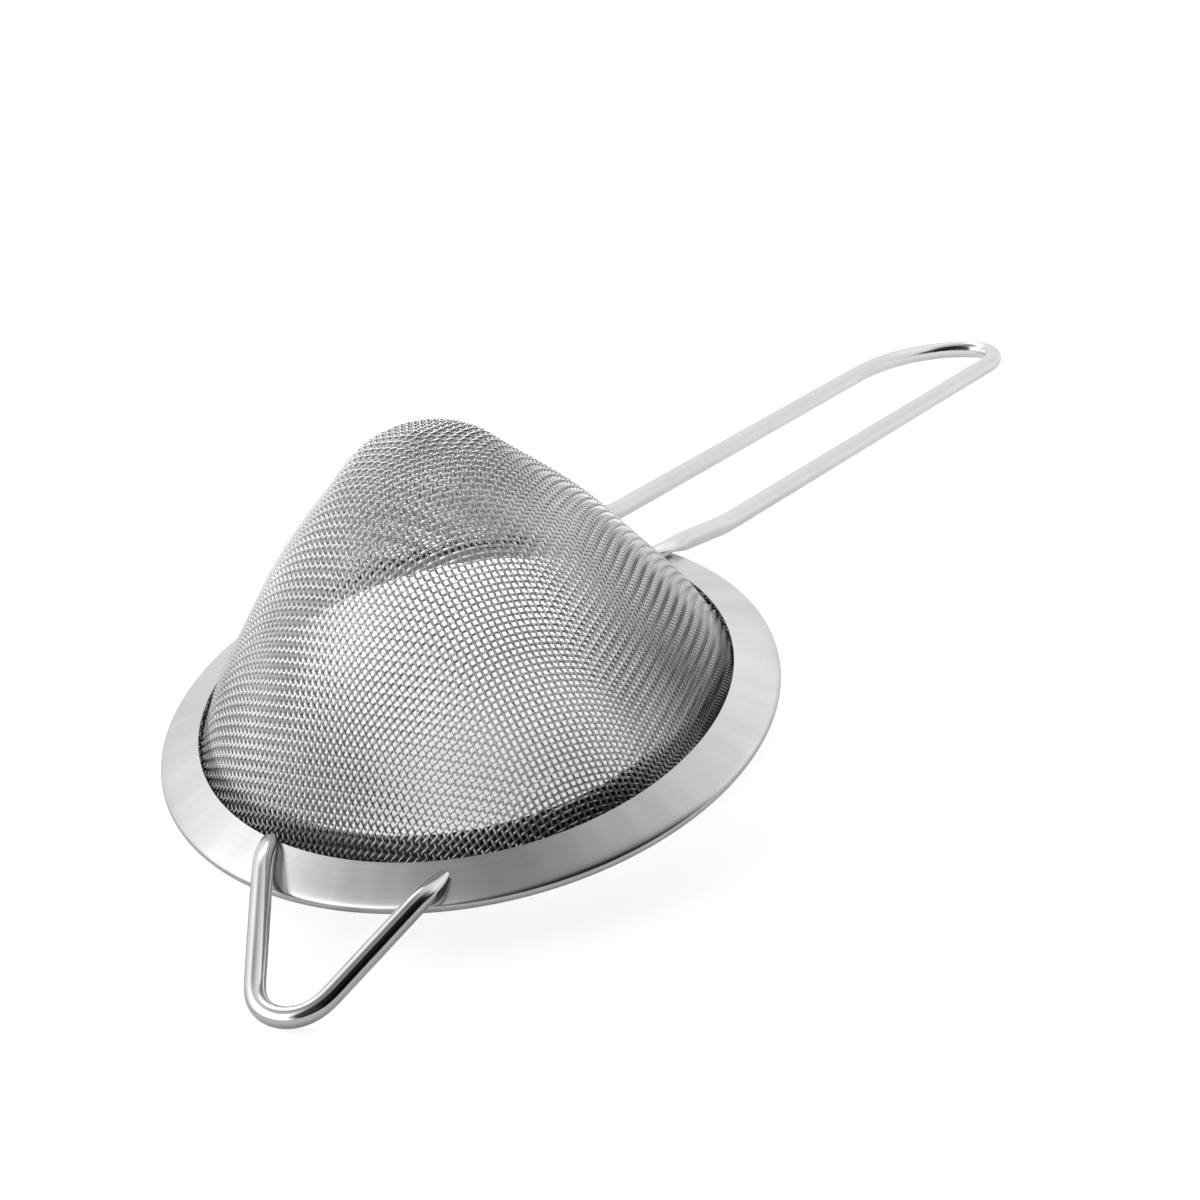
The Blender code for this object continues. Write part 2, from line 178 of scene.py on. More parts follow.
def table_glow(tree):
    """How strongly the table glows, for rays from the camera and for rays that steel mirrors."""
    place = add_node(tree, "ShaderNodeTexCoord")
    reach = add_node(tree, "ShaderNodeVectorMath", operation="DISTANCE")
    reach.inputs[1].default_value = SHADED_MIDDLE
    parts = add_node(tree, "ShaderNodeSeparateXYZ")
    join(tree, place.outputs["Object"], reach.inputs[0])
    join(tree, place.outputs["Object"], parts.inputs[0])
    for_camera = spread(tree, reach.outputs["Value"], *SHADED_REACH, GLOW_UNDER_CONE, TABLE_GLOW)
    for_steel = spread(tree, parts.outputs["X"], *MIRRORED_STRETCH, 0, MIRRORED_GLOW)
    path = add_node(tree, "ShaderNodeLightPath")
    seen = add_node(tree, "ShaderNodeMath", operation="MULTIPLY")
    total = add_node(tree, "ShaderNodeMath", operation="MULTIPLY_ADD")
    join(tree, path.outputs["Is Camera Ray"], seen.inputs[0])
    join(tree, for_camera, seen.inputs[1])
    join(tree, path.outputs["Is Glossy Ray"], total.inputs[0])
    join(tree, for_steel, total.inputs[1])
    join(tree, seen.outputs[0], total.inputs[2])
    return total.outputs[0]


def table_material():
    material = bpy.data.materials.new("white_table")
    material.use_nodes = True
    tree = material.node_tree
    tree.nodes.clear()
    output = add_node(tree, "ShaderNodeOutputMaterial")
    total = add_node(tree, "ShaderNodeAddShader")
    matt = add_node(tree, "ShaderNodeBsdfDiffuse")
    matt.inputs["Color"].default_value = (TABLE_TONE, TABLE_TONE, TABLE_TONE, 1)
    glow = add_node(tree, "ShaderNodeEmission")
    join(tree, table_glow(tree), glow.inputs["Strength"])
    join(tree, matt.outputs[0], total.inputs[0])
    join(tree, glow.outputs[0], total.inputs[1])
    join(tree, total.outputs[0], output.inputs["Surface"])
    return material


table_corners = [(x * HALF_TABLE, y * HALF_TABLE, 0) for x, y in ((-1, -1), (1, -1), (1, 1), (-1, 1))]
table_mesh = bpy.data.meshes.new("table_top")
table_mesh.from_pydata(table_corners, [], [(0, 1, 2, 3)])
table_mesh.materials.append(table_material())
table = bpy.data.objects.new("table_top", table_mesh)
table.location.z = cad_box[0][2] - TABLE_GAP
bpy.context.scene.collection.objects.link(table)
print("table at", round(table.location.z * 1000, 2), "mm")

# %% [markdown]
# ## Room
# Bare steel shows its room. A real studio has white walls, soft boxes half way up, a dim ceiling and
# a dark side where the camera stands. Walls could be built, but a world that is painted by direction
# costs nothing: a ramp gives the brightness from the table's level to overhead, and soft cards lie
# over it. The dark ones give the round wires their dark streaks, and the bright ones lift the side of
# the collar that faces them. The camera sees plain white behind the object.

# %% Room painted by direction
ROOM_LIGHT = 1.2
ROOM_LEVELS = (
    # angle above the table in degrees, share of the light
    (0, 0.76),
    (22, 0.76),
    (38, 0.95),
    (46, 0.92),
    (56, 0.80),
    (66, 0.72),
    (76, 0.54),
    (86, 0.46),
)
CARDS = (
    # sideways angle, angle up, how far from there it has faded out and how far it is full, all in
    # degrees, and the share of the light on it
    (-135, 30, 53, 33, 0.04),
    (-99, 9, 34, 20, 0.05),
    (-105, 50, 32, 14, 0.35),
    (125, 71, 28, 12, 0.42),
    (148, 25, 58, 30, 1.7),
    (85, 40, 35, 12, 1.12),
    (29, 25, 42, 20, 1.06),
)


def soft_card(tree, direction, card):
    """A number over all directions: 1 away from the card, the card's share on it."""
    *angles, share = card
    sideways, up, fade, full = [math.radians(angle) for angle in angles]
    level = Vector((math.cos(sideways), math.sin(sideways), 0))
    facing = add_node(tree, "ShaderNodeVectorMath", operation="DOT_PRODUCT")
    facing.inputs[1].default_value = level * math.cos(up) + Vector((0, 0, math.sin(up)))
    join(tree, direction, facing.inputs[0])
    return spread(tree, facing.outputs["Value"], math.cos(fade), math.cos(full), 1, share)


def studio_world():
    """The painted room for light and reflections, and plain white for the camera."""
    world = bpy.data.worlds.new("studio")
    world.use_nodes = True
    tree = world.node_tree
    tree.nodes.clear()
    place = add_node(tree, "ShaderNodeTexCoord")
    parts = add_node(tree, "ShaderNodeSeparateXYZ")
    ramp = add_node(tree, "ShaderNodeValToRGB")
    ramp.color_ramp.interpolation = "EASE"
    stops = ramp.color_ramp.elements
    for stop, (angle, share) in enumerate(ROOM_LEVELS):
        if stop >= len(stops):
            stops.new(1)
        stops[stop].position = math.sin(math.radians(angle))
        stops[stop].color = (share, share, share, 1)
    full = add_node(tree, "ShaderNodeMath", operation="MULTIPLY")
    full.inputs[1].default_value = ROOM_LIGHT
    join(tree, place.outputs["Generated"], parts.inputs[0])
    join(tree, parts.outputs["Z"], ramp.inputs["Fac"])
    join(tree, ramp.outputs["Color"], full.inputs[0])
    light = full.outputs[0]
    for card in CARDS:
        shade = add_node(tree, "ShaderNodeMath", operation="MULTIPLY")
        join(tree, light, shade.inputs[0])
        join(tree, soft_card(tree, place.outputs["Generated"], card), shade.inputs[1])
        light = shade.outputs[0]
    room = add_node(tree, "ShaderNodeBackground")
    white = add_node(tree, "ShaderNodeBackground")
    white.inputs["Color"].default_value = (1, 1, 1, 1)
    path = add_node(tree, "ShaderNodeLightPath")
    mix = add_node(tree, "ShaderNodeMixShader")
    output = add_node(tree, "ShaderNodeOutputWorld")
    join(tree, light, room.inputs["Strength"])
    join(tree, path.outputs["Is Camera Ray"], mix.inputs["Fac"])
    join(tree, room.outputs[0], mix.inputs[1])
    join(tree, white.outputs[0], mix.inputs[2])
    join(tree, mix.outputs[0], output.inputs["Surface"])
    bpy.context.scene.world = world
    return world


print("room:", len(studio_world().node_tree.nodes), "nodes")

# %% [markdown]
# ## Lamp
# One large soft box above and behind gives the wires a bright line. It is wide, so its edges stay
# soft on satin steel.


# %% Soft box
def soft_box(name, place, aim, size, watts):
    """A rectangular lamp that faces the point aim."""
    lamp = bpy.data.lights.new(name, "AREA")
    lamp.shape = "RECTANGLE"
    lamp.size, lamp.size_y = size
    lamp.energy = watts
    box = bpy.data.objects.new(name, lamp)
    box.location = place
    box.rotation_euler = (Vector(aim) - Vector(place)).to_track_quat("-Z", "Y").to_euler()
    bpy.context.scene.collection.objects.link(box)
    return box


back_box = soft_box(
    "back_box",
    place=(0.45, 0.45, 0.75),
    aim=(-0.05, 0, 0.03),
    size=(0.6, 0.5),
    watts=1.0,
)
print(back_box.name, "is", round((back_box.location - rim_centre).length, 2), "m away")

# %% [markdown]
# ## Section of the rim
# The collar is sheet steel, spun to a flat cone with its outer edge rolled over. The inner ring holds
# the cloth's skirt up against it and has a lip that stands inside the cone. Both are turned round one
# axis, so each is a line in section, thickened to the sheet and swept round.

# %% Sizes of the rim
SHEET = 0.0005
CLEARANCE = 0.0003
RIM_RADIUS = 0.045
ROLL_RETURN = 0.0012
ROLL_MEETS = math.radians(20)
SHOULDER_RUN = 0.0022
SHOULDER_STEPS = 16
ROLL_STEPS = 12
COLLAR_RADIUS = 0.0388
COLLAR_RISE = 0.0034
COLLAR_RUNS = (0, 0.0001, 0.0012)  # the second is close to the edge, to keep the shading flat there
SKIRT_THICKNESS = 0.0007  # the room that the frame's solids leave for the cloth between them
LIP_RADIUS = 0.0353
LIP_HEIGHT = 0.0052
LIP_LEAN = math.radians(30)
LIP_BEND = 0.0006

roll_centre = Vector((RIM_RADIUS - ROLL_RADIUS, 0))
collar_edge = Vector((COLLAR_RADIUS, COLLAR_RISE))
across = roll_centre - collar_edge
collar_slope = math.atan2(-across.y, across.x) - math.asin(ROLL_RADIUS / across.length)
outward = Vector((math.cos(collar_slope), -math.sin(collar_slope)))
upward = Vector((math.sin(collar_slope), math.cos(collar_slope)))
print("the collar slopes by", round(math.degrees(collar_slope), 1), "degrees")


# %% Lines in section
def under_collar(run, depth):
    """Down the slope from the collar's edge, and this deep under its top face."""
    return collar_edge + outward * run - upward * depth


def meeting(point, along, other_point, other_along):
    """Where two lines cross, each given by a point and a heading."""
    cross = Vector((-other_along.y, other_along.x))
    return point + along * ((other_point - point).dot(cross) / along.dot(cross))


def rounded(corners, radius, steps):
    """A path through the corners, each inner one turned on an arc."""
    path = [corners[0]]
    for before, corner, after in zip(corners, corners[1:], corners[2:]):
        back = (before - corner).normalized()
        forth = (after - corner).normalized()
        half = back.angle(forth) / 2
        turn = math.pi - 2 * half
        centre = corner + (back + forth).normalized() * (radius / math.sin(half))
        first = corner + back * (radius / math.tan(half)) - centre
        last = corner + forth * (radius / math.tan(half)) - centre
        for step in range(steps + 1):
            to_last = math.sin(step / steps * turn) / math.sin(turn)
            to_first = math.sin((1 - step / steps) * turn) / math.sin(turn)
            path.append(centre + first * to_first + last * to_last)
    path.append(corners[-1])
    return path


def offset(path, distance):
    """The path moved to its left."""
    runs = [(b - a).normalized() for a, b in zip(path, path[1:])]
    moved = []
    for point, before, after in zip(path, [runs[0], *runs], [*runs, runs[-1]]):
        left = Vector((-before.y - after.y, before.x + after.x))
        moved.append(point + left * (distance / (1 + before.dot(after))))
    return moved


# %% Collar line and ring line
def bent(near, corner, far, steps):
    """A curve from near to far that the corner pulls towards itself."""
    points = []
    for step in range(steps + 1):
        share = step / steps
        points.append((1 - share) ** 2 * near + 2 * share * (1 - share) * corner + share**2 * far)
    return points


def collar_line():
    """The middle of the collar's sheet, from its edge by the cloth to the end of the roll."""
    middle = ROLL_RADIUS - SHEET / 2
    line = [under_collar(run, SHEET / 2) for run in COLLAR_RUNS]
    shoulder = under_collar(SHOULDER_RUN, SHEET / 2)
    side = roll_centre + Vector((math.cos(ROLL_MEETS), math.sin(ROLL_MEETS))) * middle
    corner = meeting(shoulder, outward, side, Vector((math.sin(ROLL_MEETS), -math.cos(ROLL_MEETS))))
    line += bent(shoulder, corner, side, SHOULDER_STEPS)
    for step in range(1, ROLL_STEPS + 1):
        angle = ROLL_MEETS - (ROLL_MEETS + math.pi / 2) * step / ROLL_STEPS
        line.append(roll_centre + Vector((math.cos(angle), math.sin(angle))) * middle)
    line.append(roll_centre + Vector((-ROLL_RETURN, -middle)))
    return line


def ring_line():
    """The middle of the ring's sheet, from the end of its flange to the top of its lip."""
    leaning = Vector((-math.sin(LIP_LEAN), math.cos(LIP_LEAN)))
    lip_top = Vector((LIP_RADIUS, LIP_HEIGHT)) - Vector((leaning.y, -leaning.x)) * SHEET / 2
    corner = roll_centre + Vector((-ROLL_RETURN, SHEET - ROLL_RADIUS))
    flange_run = (corner - collar_edge).dot(outward) - CLEARANCE
    flange_depth = SHEET + CLEARANCE + SKIRT_THICKNESS + CLEARANCE + SHEET / 2
    flange_end = under_collar(flange_run, flange_depth)
    bend = meeting(lip_top, leaning, flange_end, outward)
    return rounded([flange_end, bend, lip_top], LIP_BEND, 8)


print(len(collar_line()), "points in the collar's line,", len(ring_line()), "in the ring's")

# %% [markdown]
# ## Sweeping a section round the axis
# A Screw modifier would do this too. Making the faces in code keeps hold of where each point lies
# round the rim and across the sheet, and that place is stored in a UV map: the polishing lines of the
# metal follow it later.

# %% Turned sheet
ROUND_STEPS = 360


def add_piece(name, mesh, node):
    """An object of the mesh that rides on the one body and stands for a node of the frame."""
    mesh.shade_smooth()
    mesh.set_sharp_from_angle(angle=math.radians(40))
    piece = bpy.data.objects.new(name, mesh)
    bpy.context.scene.collection.objects.link(piece)
    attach(piece, "root")
    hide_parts(node)
    print(name, "has", len(mesh.polygons), "faces")
    return piece


def store_places(mesh, across_steps, around, along):
    """Writes a UV map: each face but the caps is one step of a grid of places, in metres."""
    uv = mesh.uv_layers.new(name="place")
    values = np.zeros((len(mesh.loops), 2))
    for polygon in mesh.polygons:
        if polygon.loop_total != 4:
            continue
        row, column = divmod(polygon.index, across_steps)
        corners = ((row, column), (row + 1, column), (row + 1, column + 1), (row, column + 1))
        for loop, (r, c) in zip(polygon.loop_indices, corners):
            values[loop] = (around[r], along[c])
    uv.data.foreach_set("uv", values.ravel())


def grid_faces(rows, sides, closed):
    """Faces that join each loop of points to the next, and the last to the first if it's closed."""
    faces = []
    for row in range(rows if closed else rows - 1):
        here = row * sides
        after = (row + 1) % rows * sides
        for a in range(sides):
            b = (a + 1) % sides
            faces.append((here + a, after + a, after + b, here + b))
    return faces


def turned_sheet(name, line, node):
    """The line thickened to the sheet and turned round the cone's axis."""
    section = offset(line, SHEET / 2) + offset(line, -SHEET / 2)[::-1]
    count = len(section)
    verts = []
    for step in range(ROUND_STEPS):
        angle = 2 * math.pi * step / ROUND_STEPS
        verts += [(p.x * math.cos(angle), p.x * math.sin(angle), p.y) for p in section]
    mesh = bpy.data.meshes.new(name)
    mesh.from_pydata(in_frame(verts).tolist(), [], grid_faces(ROUND_STEPS, count, closed=True))
    lengths = [0.0]
    for a, b in zip(section, section[1:] + section[:1]):
        lengths.append(lengths[-1] + (b - a).length)
    rounds = [RIM_RADIUS * 2 * math.pi * step / ROUND_STEPS for step in range(ROUND_STEPS + 1)]
    store_places(mesh, count, rounds, lengths)
    return add_piece(name, mesh, node)


collar = turned_sheet("collar_sheet", collar_line(), "rim_collar")
ring = turned_sheet("inner_ring", ring_line(), "clamp_ring")

# %% [markdown]
# ## Handle and rest
# Each is one round wire, bent in a jig, with its two ends pressed flat and welded on the collar. A
# curve with a bevel would give the round wire but not the flat ends. So the wire is a list of
# stations, each a middle, half a width and half a height, evened out along its length and skinned.

# %% Sizes of the wire pieces
WIRE = 0.003
BLADE_TIP = 0.0007
BLADE_WIDTH = 0.0035
BLADE_SHARES = (0, 0.06, 0.3, 0.65, 1)  # of its length, where it has stations
BLUNT_TIP = (0.6, 0.06)  # share of the width at the tip, and share of the length to the whole width
SHARP_TIP = (0.35, 0.55)
BEND_STEPS = 12
TURN_STEPS = 40
HANDLE_WELD_INSET = 0.005
HANDLE_WELD_SPREAD = 0.0131
HANDLE_BLADE = 0.0049
HANDLE_ROOT = 0.0019
HANDLE_SWELL = 0.004
HANDLE_BEND = Vector((0.0688, 0.0097, -0.0124))
HANDLE_BEND_RADIUS = 0.018
HANDLE_SLOPE = math.radians(19.5)
HANDLE_SPREAD = 0.0097
HANDLE_REACH = 0.1933
HANDLE_END_LENGTHS = (0.026, 0.012)
HANDLE_END_SHIFT = 0.0038
REST_WELD_INSETS = (0.0062, 0.0041)
REST_WELD_SPREAD = 0.0138
REST_BLADE = 0.0048
REST_TIPS = (BLUNT_TIP, SHARP_TIP)
REST_POINT = Vector((-0.065, 0, -0.0025))
REST_SLOPE = math.radians(13.2)
REST_POINT_RADIUS = 0.0058
REST_TURN = math.radians(1.8)
print("wire", WIRE * 1000, "mm, flat ends", BLADE_TIP * 1000, "mm")


# %% Flat ends
def weld_place(inset, spread, side):
    """A point on the collar's top face and the face's direction there."""
    radius = RIM_RADIUS - inset
    out = Vector((math.sqrt(radius**2 - spread**2), spread * side, 0)) / radius
    height = COLLAR_RISE - (radius - COLLAR_RADIUS) * math.tan(collar_slope)
    return out * radius + Vector((0, 0, height)), out * upward.x + Vector((0, 0, upward.y))


def pressed_end(weld, face, aim, length, root, tip):
    """Stations from the tip of a flat end, which lies on the face, to its root."""
    forward = Vector((aim.x - weld.x, aim.y - weld.y, 0))
    forward.z = -forward.dot(face) / face.z
    forward.normalize()
    stations = []
    for share in BLADE_SHARES:
        height = BLADE_TIP + (root - BLADE_TIP) * share
        width = BLADE_WIDTH + (WIRE - BLADE_WIDTH) * (height - BLADE_TIP) / (WIRE - BLADE_TIP)
        width *= min(1, tip[0] + (1 - tip[0]) * share / tip[1])
        middle = weld + forward * (length * share) + face * (CLEARANCE + height / 2)
        stations.append((*middle, width / 2, height / 2))
    return stations


def round_stations(points):
    """Stations where the wire has its full round section."""
    return [(*point, WIRE / 2, WIRE / 2) for point in points]


def ellipse_points(centre, forward, sideways, first, last, steps):
    points = []
    for step in range(steps + 1):
        angle = first + (last - first) * step / steps
        points.append(centre + forward * math.cos(angle) + sideways * math.sin(angle))
    return points


# %% Stations of the handle
def handle_stations():
    """Stations from one weld round the loop to the other, and the face that the first lies on."""
    along = Vector((math.cos(HANDLE_SLOPE), 0, -math.sin(HANDLE_SLOPE)))
    weld, face = weld_place(HANDLE_WELD_INSET, HANDLE_WELD_SPREAD, 1)
    straight_out = weld * 2
    blade = pressed_end(weld, face, straight_out, HANDLE_BLADE, HANDLE_ROOT, BLUNT_TIP)
    root = Vector(blade[-1][:3])
    leg = rounded([root, HANDLE_BEND, HANDLE_BEND + along], HANDLE_BEND_RADIUS, BEND_STEPS)
    full = root + (leg[1] - root).normalized() * HANDLE_SWELL
    half = blade + round_stations([full, *leg[1:-1]])
    end = HANDLE_BEND + along * ((HANDLE_REACH - HANDLE_BEND.x) / along.x)
    end.y = -HANDLE_END_SHIFT
    turn = []
    for length, side in zip(HANDLE_END_LENGTHS, (1, -1)):
        sideways = Vector((0, HANDLE_SPREAD * side + HANDLE_END_SHIFT, 0))
        centre = end - along * length
        quarter = ellipse_points(centre, along * length, sideways, 0, math.pi / 2, TURN_STEPS)
        turn += quarter[::-1] if side == 1 else quarter[1:]
    other = [(x, -y, z, width, height) for x, y, z, width, height in half[::-1]]
    return half + round_stations(turn) + other, face


# %% Stations of the rest
def rest_stations():
    """Stations from one weld over the point to the other, and the face that the first lies on."""
    along = Vector((-math.cos(REST_SLOPE), 0, -math.sin(REST_SLOPE)))
    centre = REST_POINT - along * REST_POINT_RADIUS
    forward = along * REST_POINT_RADIUS
    sideways = Vector((0, REST_POINT_RADIUS, 0))
    ends = []
    turns = []
    faces = []
    for inset, tip, side in zip(REST_WELD_INSETS, REST_TIPS, (1, -1)):
        weld, face = weld_place(inset, REST_WELD_SPREAD, side)
        weld.x = -weld.x
        face.x = -face.x
        out = (weld.x - centre.x) / along.x
        turn = math.atan2(abs(weld.y), out) - math.acos(REST_POINT_RADIUS / math.hypot(out, weld.y))
        touching = centre + forward * math.cos(turn) + sideways * (side * math.sin(turn))
        ends.append(pressed_end(weld, face, touching, REST_BLADE, WIRE, tip))
        turns.append(turn * side)
        faces.append(face)
    point = ellipse_points(centre, forward, sideways, *turns, TURN_STEPS)
    turned = Matrix.Rotation(REST_TURN, 3, "Z")
    stations = []
    for x, y, z, width, height in ends[0] + round_stations(point) + ends[1][::-1]:
        stations.append((*(turned @ Vector((x, y, z))), width, height))
    return stations, turned @ faces[0]


# %% [markdown]
# ## Skin of a wire
# A wire that is bent cold has no sharp kinks, so the stations are spaced evenly and each is moved a
# little towards its neighbours, a few times over. Then a loop of points goes round each station and
# is joined to the next. The way along the wire and the way round it are stored as its place map.

# %% Skin of a wire
STATION_STEP = 0.0005
WIRE_SIDES = 28
HANDLE_ROUNDS = 20
REST_ROUNDS = 12


def even_stations(stations, rounds):
    """The same stations at equal steps, their kinks softened."""
    table = np.array(stations)
    ways = np.concatenate([[0], np.cumsum(np.linalg.norm(np.diff(table[:, :3], axis=0), axis=1))])
    steps = np.linspace(0, ways[-1], int(ways[-1] / STATION_STEP))
    even = np.column_stack([np.interp(steps, ways, column) for column in table.T])
    for _ in range(rounds):
        even[1:-1] = even[1:-1] / 2 + (even[2:] + even[:-2]) / 4
    return even, steps


def wire_piece(name, stations, face, rounds, node):
    """A wire through the stations. The face is the direction of their height at the first."""
    even, steps = even_stations(stations, rounds)
    middles = even[:, :3]
    headings = np.gradient(middles, axis=0)
    headings /= np.linalg.norm(headings, axis=1)[:, None]
    high = np.array(face)
    verts = []
    angles = np.linspace(0, 2 * math.pi, WIRE_SIDES, endpoint=False)
    for middle, heading, width, height in zip(middles, headings, even[:, 3], even[:, 4]):
        high = high - heading * (high @ heading)
        high = high / np.linalg.norm(high)
        side = np.cross(heading, high)
        loop = np.cos(angles)[:, None] * side * width + np.sin(angles)[:, None] * high * height
        verts.extend(middle + loop)
    faces = grid_faces(len(even), WIRE_SIDES, closed=False)
    last = (len(even) - 1) * WIRE_SIDES
    faces.append(list(range(WIRE_SIDES)))
    faces.append([last + a for a in range(WIRE_SIDES)][::-1])
    mesh = bpy.data.meshes.new(name)
    mesh.from_pydata(in_frame(verts).tolist(), [], faces)
    girth = [math.pi * WIRE * a / WIRE_SIDES for a in range(WIRE_SIDES + 1)]
    store_places(mesh, WIRE_SIDES, steps, girth)
    return add_piece(name, mesh, node)


handle_line, handle_face = handle_stations()
handle = wire_piece("handle_wire", handle_line, handle_face, HANDLE_ROUNDS, "handle_loop")
rest_line, rest_face = rest_stations()
rest = wire_piece("rest_wire", rest_line, rest_face, REST_ROUNDS, "rest_hook")

# %% [markdown]
# ## Cloth
# The cone is woven wire cloth: two sets of wires cross at right angles, each over one and under the
# next. Such cloth can't stretch, but its square cells can shear to diamonds, and that is how it is
# drawn down over the cone. The same is done here: two wires are laid straight over the top, and each
# next crossing is found one wire step away from its two neighbours. A texture would be quicker, but
# only real wires let the light through and show the ring behind them.

# %% Sizes of the cloth
PITCH = 0.00094
WIRE_RADIUS = 0.00019
CLOTH_THICKNESS = 0.0006
CLOTH_HEIGHT = 0.0469
CLOTH_OUTLINE = (
    # share of the collar's inner radius, share of the height over the collar
    (0, 1),
    (0.083, 0.98),
    (0.25, 0.92),
    (0.37, 0.8),
    (0.607, 0.55),
    (0.789, 0.3),
    (0.916, 0.12),
)
OUTLINE_STEPS = 12
TIP_ROUNDS = 12
CREASE_RUN = 0.0009
CREASE_STEPS = 6
CLOTH_MIDDLE = (-0.0042, 0.0034)
CLOTH_TURN = math.radians(35.9)
TIP_LEAN = 0.0011
TIP_LEAN_TOWARDS = math.radians(-60)
SKIRT = 0.0030
SPARE_CELLS = 3  # of cloth laid past the cut end, so that the last crossings have neighbours
print("cells of", round((PITCH - 2 * WIRE_RADIUS) * 1000, 2), "mm, open")


# %% Outline of the cloth
def smooth_outline(points, steps):
    """A smooth curve through the points, level at the first."""
    mirrored = Vector((-points[1].x, points[1].y))
    line = [mirrored, *points, 2 * points[-1] - points[-2]]
    curve = []
    for a, b, c, d in zip(line, line[1:], line[2:], line[3:]):
        for step in range(steps):
            t = step / steps
            bend = (2 * a - 5 * b + 4 * c - d) * t**2 + (3 * b - 3 * c + d - a) * t**3
            curve.append(b + ((c - a) * t + bend) / 2)
    curve.append(points[-1])
    return curve


def softened(flank):
    """The flank evened out together with its mirror image, so that the tip stays level."""
    whole = [(-p.x, p.y, 0) for p in flank[:0:-1]] + [(p.x, p.y, 0) for p in flank]
    even, _ = even_stations(whole, TIP_ROUNDS)
    top = float(np.interp(0, even[:, 0], even[:, 1]))
    clear_of_axis = STATION_STEP / 5
    return [Vector((0, top))] + [Vector((x, y)) for x, y, _ in even.tolist() if x > clear_of_axis]


def cloth_outline():
    """The middle of the cloth from the tip to the end of its skirt, and the height of its fold."""
    height = CLOTH_HEIGHT - COLLAR_RISE
    points = [Vector((a * COLLAR_RADIUS, COLLAR_RISE + b * height)) for a, b in CLOTH_OUTLINE]
    half = CLOTH_THICKNESS / 2
    flank = offset(smooth_outline(points, OUTLINE_STEPS), -half)
    flank[0].x = 0
    flank = softened(flank)
    to_edge = collar_edge - upward * SHEET - flank[-1]
    down = math.atan2(to_edge.y, to_edge.x) - math.asin((CLEARANCE + half) / to_edge.length)
    heading = Vector((math.cos(down), math.sin(down)))
    fold = meeting(flank[-1], heading, under_collar(0, SHEET + CLEARANCE + half), outward)
    crease = bent(fold - heading * CREASE_RUN, fold, fold + outward * CREASE_RUN, CREASE_STEPS)
    skirt = [fold + outward * (SKIRT + spare * PITCH) for spare in (0, SPARE_CELLS)]
    return [*flank, *crease, *skirt], fold.y


outline, fold_height = cloth_outline()
radii = [point.x for point in outline]
heights = [point.y for point in outline]
slopes = [(b.y - a.y) / (b.x - a.x) for a, b in zip(outline, outline[1:])]
cut_radius = radii[-2]
print("the cloth is cut", round(cut_radius * 1000, 1), "mm from the axis")


# %% [markdown]
# ## Laying the weave
# The first two wires run straight over the top, as a thread pulled over a hill does. Each next
# crossing has to be one wire step from two that are known already. That makes two equations for its
# place in plan, and a few rounds of Newton's method solve them. A cloth simulation could drape the
# weave too, but it lets the wires stretch and takes minutes where this takes a second.


# %% Height and rise of the cloth over a place in plan
def over(x, y):
    """The height there, and how steeply it rises along X and along Y."""
    radius = math.hypot(x, y)
    k = min(max(bisect_right(radii, radius) - 1, 0), len(slopes) - 1)
    rise = slopes[k] / max(radius, 1e-9)
    return heights[k] + slopes[k] * (radius - radii[k]), x * rise, y * rise


def straight_wire(heading, sub_steps=8):
    """Places one wire step apart on a wire that starts from the cloth's middle and runs straight."""
    x, y = CLOTH_MIDDLE
    here = np.array((x, y, over(x, y)[0]))
    ahead = np.array((math.cos(heading), math.sin(heading), 0.0))
    places = []
    while math.hypot(here[0], here[1]) < radii[-1]:
        for _ in range(sub_steps):
            _, along_x, along_y = over(here[0], here[1])
            normal = np.array((-along_x, -along_y, 1.0))
            normal /= np.linalg.norm(normal)
            ahead = ahead - normal * (ahead @ normal)
            there = here + ahead * (PITCH / sub_steps / np.linalg.norm(ahead))
            there = there + normal * ((over(there[0], there[1])[0] - there[2]) * normal[2])
            there[2] = over(there[0], there[1])[0]
            ahead = there - here
            here = there
        places.append((here[0], here[1]))
    return places


# %% Next crossing
NEWTON_ROUNDS = 20
CLOSE_ENOUGH = 1e-9


def next_crossing(before, left, right):
    """The place one wire step from both left and right, on the far side from the place before."""
    x = left[0] + right[0] - before[0]
    y = left[1] + right[1] - before[1]
    ends = [(*end, over(*end)[0]) for end in (left, right)]
    for _ in range(NEWTON_ROUNDS):
        height, along_x, along_y = over(x, y)
        rows = []
        for end in ends:
            dx = x - end[0]
            dy = y - end[1]
            dz = height - end[2]
            miss = dx * dx + dy * dy + dz * dz - PITCH * PITCH
            rows.append((miss, 2 * (dx + dz * along_x), 2 * (dy + dz * along_y)))
        (m1, a1, b1), (m2, a2, b2) = rows
        size = a1 * b2 - a2 * b1
        step_x = (m1 * b2 - m2 * b1) / size
        step_y = (a1 * m2 - a2 * m1) / size
        held = min(1, PITCH / max(math.hypot(step_x, step_y), 1e-12))
        x -= step_x * held
        y -= step_y * held
        if abs(step_x) + abs(step_y) < CLOSE_ENOUGH:
            break
    return x, y


# %% Laying all the crossings
def lay_cloth():
    """The places of all crossings by their row in each of the two sets of wires."""
    places = {(0, 0): CLOTH_MIDDLE}
    for quarter, (i, j) in enumerate(((1, 0), (0, 1), (-1, 0), (0, -1))):
        for count, place in enumerate(straight_wire(CLOTH_TURN + quarter * math.pi / 2), 1):
            places[i * count, j * count] = place
    most = max(max(key) for key in places) + 1
    for across, up in ((1, 1), (-1, 1), (-1, -1), (1, -1)):
        for i in range(across, across * most, across):
            for j in range(up, up * most, up):
                known = ((i - across, j - up), (i - across, j), (i, j - up))
                around = [places.get(key) for key in known]
                if all(place and math.hypot(*place) < cut_radius + PITCH for place in around):
                    places[i, j] = next_crossing(*around)
    return places


